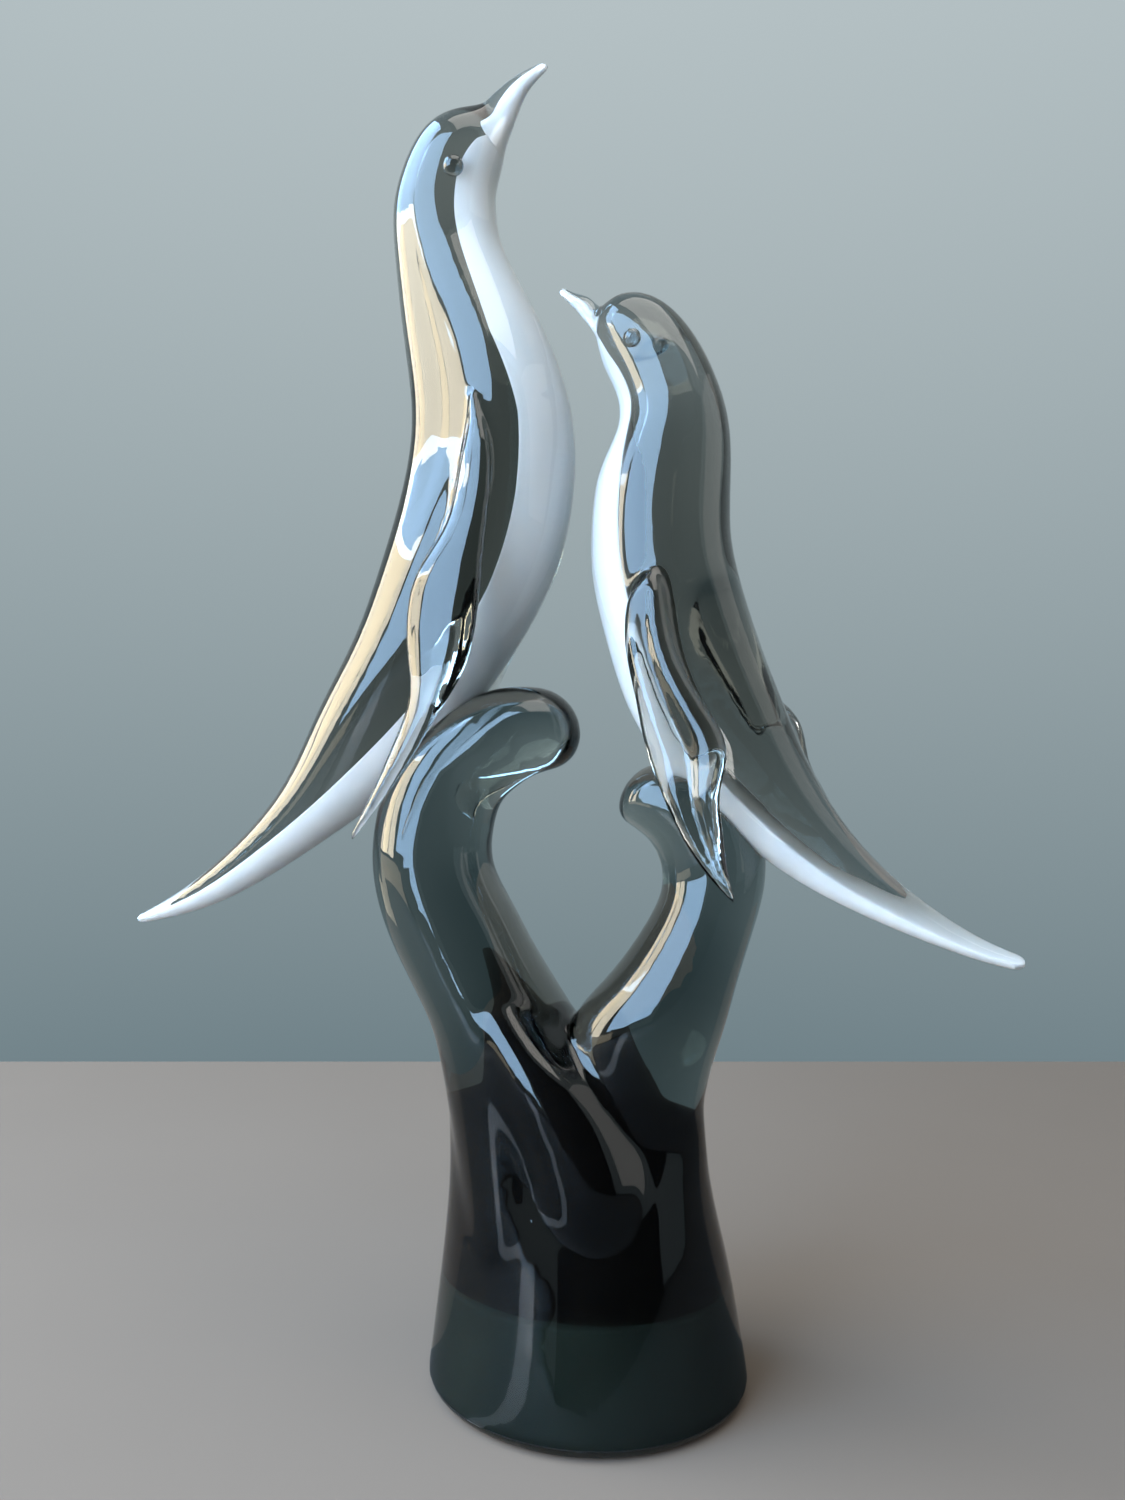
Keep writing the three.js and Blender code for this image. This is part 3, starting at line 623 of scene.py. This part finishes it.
# Camera: a phone's wide lens held level, 43 cm from the base's axis and 24 cm above the table
cameraPlace = {"turn": 15.0, "distance": 428.3, "height": 237.3, "aside": 9.3, "focalPixels": 1127.0,
               "framePixels": 1500.0, "sensor": 36.0}
turn = math.radians(cameraPlace["turn"])
rightWay = np.array([math.cos(turn), math.sin(turn), 0.0])
awayWay = np.array([-math.sin(turn), math.cos(turn), 0.0])


# Unit way from the object at an azimuth: 0 is at the camera's side, positive to its right
def wayAt(azimuth):
    a = math.radians(azimuth)
    return rightWay * math.sin(a) - awayWay * math.cos(a)


# A nearly even surface, which only faint clouds in its colour vary
def plainMaterial(name, color, roughness, specular=0.5):
    material, nodes, links, shader = newMaterial(name)
    addVeils(nodes, links, shader, {"scale": 9, "detail": 2.0, "drawn": 1.0, "from": 0.0, "to": 1.0,
                                    "dark": [c * 0.96 for c in color], "pale": color})
    shader.inputs["Roughness"].default_value = roughness
    shader.inputs["Specular IOR Level"].default_value = specular
    return material


tableShape = {"back": 434.0, "front": 1500.0, "halfWidth": 560.0, "thick": 40.0, "edge": 0.004, "edgeSteps": 3,
              "color": (0.155, 0.126, 0.105), "roughness": 0.9}


# A matt table top whose back edge runs square to the camera
def makeTable():
    w, b, f, t = tableShape["halfWidth"], tableShape["back"], -tableShape["front"], tableShape["thick"]
    corners = [(-w, f), (w, f), (w, b), (-w, b)]
    points = [rightWay * x + awayWay * y + np.array([0, 0, z]) for z in (-t, 0) for x, y in corners]
    faces = [[3, 2, 1, 0], [4, 5, 6, 7], [0, 1, 5, 4], [1, 2, 6, 5], [2, 3, 7, 6], [3, 0, 4, 7]]
    table = meshOf("stage_table", [(np.array(points), np.array(faces))])
    table.data.shade_flat()
    edge = table.modifiers.new("edge", "BEVEL")
    edge.width, edge.segments = tableShape["edge"], tableShape["edgeSteps"]
    table.data.materials.append(plainMaterial("pale_table", tableShape["color"], tableShape["roughness"], 0.0))


skyShape = {"from": -0.3, "to": 0.55, "low": (0.15, 0.21, 0.235), "high": (0.46, 0.53, 0.55), "strength": 1.0}


# Even sky: cooler and paler above, a little darker at the level of the table
def makeWorld():
    world = bpy.data.worlds.new("studio")
    bpy.context.scene.world = world
    world.use_nodes = True
    nodes, links = world.node_tree.nodes, world.node_tree.links
    place = nodes.new("ShaderNodeTexCoord")
    split = nodes.new("ShaderNodeSeparateXYZ")
    links.new(place.outputs["Generated"], split.inputs["Vector"])
    height = nodes.new("ShaderNodeMapRange")
    height.inputs["From Min"].default_value = skyShape["from"]
    height.inputs["From Max"].default_value = skyShape["to"]
    links.new(split.outputs["Z"], height.inputs["Value"])
    shade = nodes.new("ShaderNodeValToRGB")
    shade.color_ramp.elements[0].color = (*skyShape["low"], 1)
    shade.color_ramp.elements[1].color = (*skyShape["high"], 1)
    links.new(height.outputs["Result"], shade.inputs["Fac"])
    links.new(shade.outputs["Color"], nodes["Background"].inputs["Color"])
    nodes["Background"].inputs["Strength"].default_value = skyShape["strength"]


# Soft lamps, in degrees of azimuth, metres and watts. The sky ones give the blue bands, the sunny ones the cream.
# "mirrored" and "through" say whether reflections and refractions show the lamp
skyBlue, sunCream = (0.42, 0.68, 1.0), (1.0, 0.90, 0.70)
lamps = {
    "sky_front": {"azimuth": -50, "distance": 1.3, "height": 0.85, "width": 1.1, "tall": 1.4,
                  "color": skyBlue, "power": 56},
    "sky_side": {"azimuth": -98, "distance": 1.3, "height": 1.5, "width": 1.2, "tall": 1.2,
                 "color": skyBlue, "power": 50},
    "sunny_left": {"azimuth": -83, "distance": 2.4, "height": 0.78, "width": 0.55, "tall": 1.3,
                   "color": sunCream, "power": 26, "through": False},
    "sunny_middle": {"azimuth": -98, "distance": 2.4, "height": 0.76, "width": 0.64, "tall": 1.26,
                     "color": (1.0, 0.86, 0.60), "power": 31, "through": False},
    "sunny_right": {"azimuth": -113, "distance": 2.4, "height": 0.78, "width": 0.55, "tall": 1.3,
                    "color": sunCream, "power": 22, "through": False},
    "ground_bounce": {"azimuth": -90, "distance": 1.15, "height": -0.3, "width": 1.6, "tall": 1.0,
                      "color": (1.0, 0.88, 0.66), "power": 10, "through": False},
    "low_fill": {"azimuth": -50, "distance": 0.95, "height": 0.16, "width": 1.1, "tall": 0.3,
                 "color": (1.0, 0.98, 0.95), "power": 13, "mirrored": False},
    "overhead": {"azimuth": 20, "distance": 0.35, "height": 1.6, "width": 1.1, "tall": 1.1,
                 "color": (1.0, 0.95, 0.88), "power": 12},
    "fill_right": {"azimuth": 78, "distance": 1.4, "height": 0.8, "width": 1.2, "tall": 1.4,
                   "color": (1.0, 0.94, 0.87), "power": 4},
}
lampAim = np.array([0, 0, 0.26])         # metres


# A soft panel lamp turned toward the object
def addPanel(name, azimuth, distance, height, width, tall, color, power, mirrored=True, through=True):
    place = wayAt(azimuth) * distance + np.array([0, 0, height])
    data = bpy.data.lights.new(name, "AREA")
    data.shape, data.size, data.size_y = "RECTANGLE", width, tall
    data.color, data.energy = color, power
    lamp = bpy.data.objects.new(name, data)
    bpy.context.scene.collection.objects.link(lamp)
    lamp.location = place
    toward = lampAim - place
    yaw = math.atan2(toward[1], toward[0]) - math.pi / 2
    pitch = math.atan2(toward[2], math.hypot(toward[0], toward[1])) + math.pi / 2
    lamp.rotation_euler = (pitch, 0, yaw)
    lamp.visible_camera = False
    lamp.visible_glossy = mirrored
    lamp.visible_transmission = through


# Black card beside the camera, in degrees and millimetres
darkCard = {"azimuth": 10, "distance": 1000, "height": 700, "halfWidth": 700, "halfHeight": 750, "shade": 0.02}
# Cards just above the table, wedges between two azimuths, seen only in the glass.
# The black ones are painted shade on the table's reflection. The pale one is a painted light strip that gives the
# reflected streak down the foot
floorCards = {
    "floor_shade_left": {"left": -100, "right": -50, "shade": 0.03},
    "floor_light_streak": {"left": -50, "right": -42, "shade": 0.3},
    "floor_shade_middle": {"left": -42, "right": 30, "shade": 0.03},
    "floor_shade_right": {"left": 30, "right": 105, "shade": 0.03},
}
floorCardShape = {"near": 55, "far": 2400, "lift": 4.0}


# A card that the camera doesn't see and that throws no shadow, but that shows in the glass
def makeCard(name, points, faces, materialName, shade):
    card = meshOf(name, [(np.array(points), np.array(faces))])
    card.data.materials.append(plainMaterial(materialName, (shade, shade, shade), 0.9))
    card.visible_camera = False
    card.visible_shadow = False
    return card


# The upright card, square to its azimuth, which gives the dark stripes
def addDarkCard():
    card = darkCard
    a = math.radians(card["azimuth"])
    place = wayAt(card["azimuth"]) * card["distance"]
    side = rightWay * math.cos(a) + awayWay * math.sin(a)
    points = [place + side * x * card["halfWidth"] + np.array([0, 0, card["height"] + z * card["halfHeight"]])
              for x, z in [(-1, -1), (1, -1), (1, 1), (-1, 1)]]
    makeCard("dark_flag", points, [[3, 2, 1, 0]], "black_card", card["shade"])


# A level card, which only the glass shows, making the table's reflection darker or paler. Light that the table
# scatters passes it
def addFloorCard(name, left, right, shade):
    near, far, lift = floorCardShape["near"], floorCardShape["far"], floorCardShape["lift"]
    points = [wayAt(azimuth) * distance + np.array([0, 0, lift])
              for azimuth, distance in [(left, near), (left, far), (right, far), (right, near)]]
    card = makeCard(name, points, [[0, 1, 2, 3]], name, shade)
    card.visible_diffuse = False


makeTable()
makeWorld()
for name, lamp in lamps.items():
    addPanel(name, **lamp)
addDarkCard()
for name, card in floorCards.items():
    addFloorCard(name, **card)

lens = bpy.data.cameras.new("camera")
lens.sensor_fit, lens.sensor_width = "AUTO", cameraPlace["sensor"]
lens.lens = cameraPlace["focalPixels"] * cameraPlace["sensor"] / cameraPlace["framePixels"]
lens.clip_start, lens.clip_end = 0.02, 20
camera = bpy.data.objects.new("camera", lens)
bpy.context.scene.collection.objects.link(camera)
camera.location = (-rightWay * cameraPlace["aside"] - awayWay * cameraPlace["distance"]
                   + np.array([0, 0, cameraPlace["height"]])) * mm
camera.rotation_euler = (math.pi / 2, 0, turn)
bpy.context.scene.camera = camera
bpy.context.scene.view_settings.view_transform = "Standard"

bounces = bpy.context.scene.cycles       # light crosses many walls of glass
bounces.max_bounces, bounces.transmission_bounces, bounces.glossy_bounces = 28, 28, 12
print("stage made")

bpy.context.view_layer.update()
